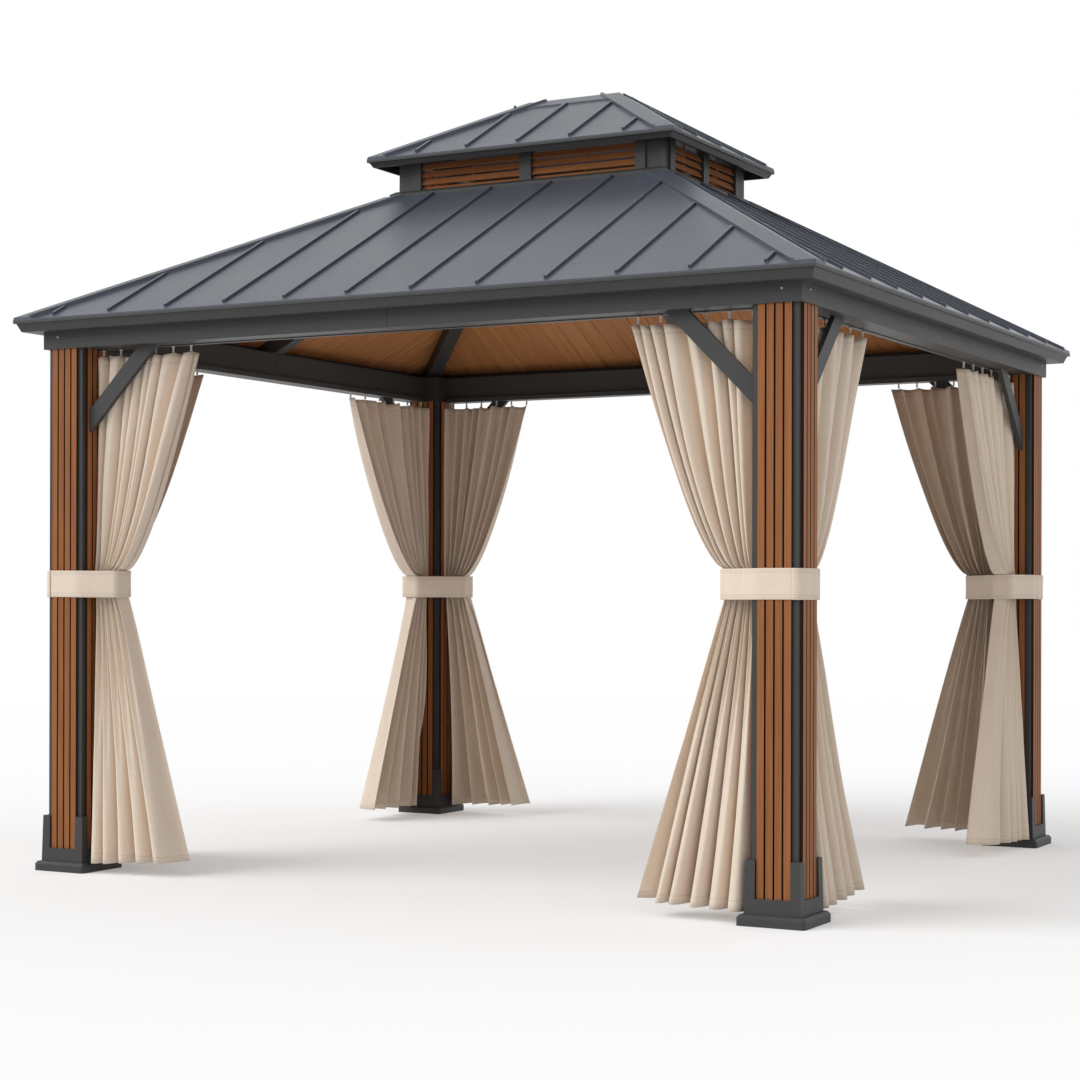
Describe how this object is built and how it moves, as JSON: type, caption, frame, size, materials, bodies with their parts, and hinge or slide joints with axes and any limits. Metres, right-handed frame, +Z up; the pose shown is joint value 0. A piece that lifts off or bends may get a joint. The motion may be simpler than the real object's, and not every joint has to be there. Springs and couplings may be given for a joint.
{
  "type": "metal gazebo",
  "caption": "Open-sided metal gazebo with slatted square posts, two-tier standing-seam hip roof, louvred cupola, boarded ceiling, knee braces and tied-back cloth curtains",
  "frame": {"origin": "floor level, in the centre of the rectangle of the four posts", "axes": "+X to the right along the wide front, +Y from the front to the back, +Z up"},
  "size_m": [3.386, 3.0878, 3.196],
  "materials": {
    "frame_metal": "satin",
    "roof_metal": "satin",
    "wood_look_slats": "satin",
    "ceiling_wood": "satin",
    "curtain_cloth": "matt"
  },
  "bodies": {
    "root": {"post_frame_front_left": "frame_metal", "post_slats_front_left": "wood_look_slats", "post_base_front_left": "frame_metal", "post_frame_front_right": "frame_metal", "post_slats_front_right": "wood_look_slats", "post_base_front_right": "frame_metal", "post_frame_back_right": "frame_metal", "post_slats_back_right": "wood_look_slats", "post_base_back_right": "frame_metal", "post_frame_back_left": "frame_metal", "post_slats_back_left": "wood_look_slats", "post_base_back_left": "frame_metal", "ring_beam": "frame_metal", "curtain_rails": "frame_metal", "knee_braces": "frame_metal", "eave_gutter": "frame_metal", "roof_slope_front": "roof_metal", "roof_slope_back": "roof_metal", "roof_slope_left": "roof_metal", "roof_slope_right": "roof_metal", "ceiling_boards": "ceiling_wood", "rafters": "frame_metal", "hip_caps": "roof_metal", "cupola_curb": "frame_metal", "cupola_frame": "frame_metal", "louvres_front": "wood_look_slats", "louvres_back": "wood_look_slats", "louvres_left": "wood_look_slats", "louvres_right": "wood_look_slats", "cupola_gutter": "frame_metal", "cupola_roof": "roof_metal", "cupola_caps": "roof_metal", "curtain_front_wall_left": "curtain_cloth", "curtain_front_wall_right": "curtain_cloth", "curtain_back_wall_left": "curtain_cloth", "curtain_back_wall_right": "curtain_cloth", "curtain_left_wall_front": "curtain_cloth", "curtain_left_wall_back": "curtain_cloth", "curtain_right_wall_front": "curtain_cloth", "curtain_right_wall_back": "curtain_cloth", "tie_band_front_left": "curtain_cloth", "tie_band_front_right": "curtain_cloth", "tie_band_back_right": "curtain_cloth", "tie_band_back_left": "curtain_cloth"}
  },
  "joints": []
}
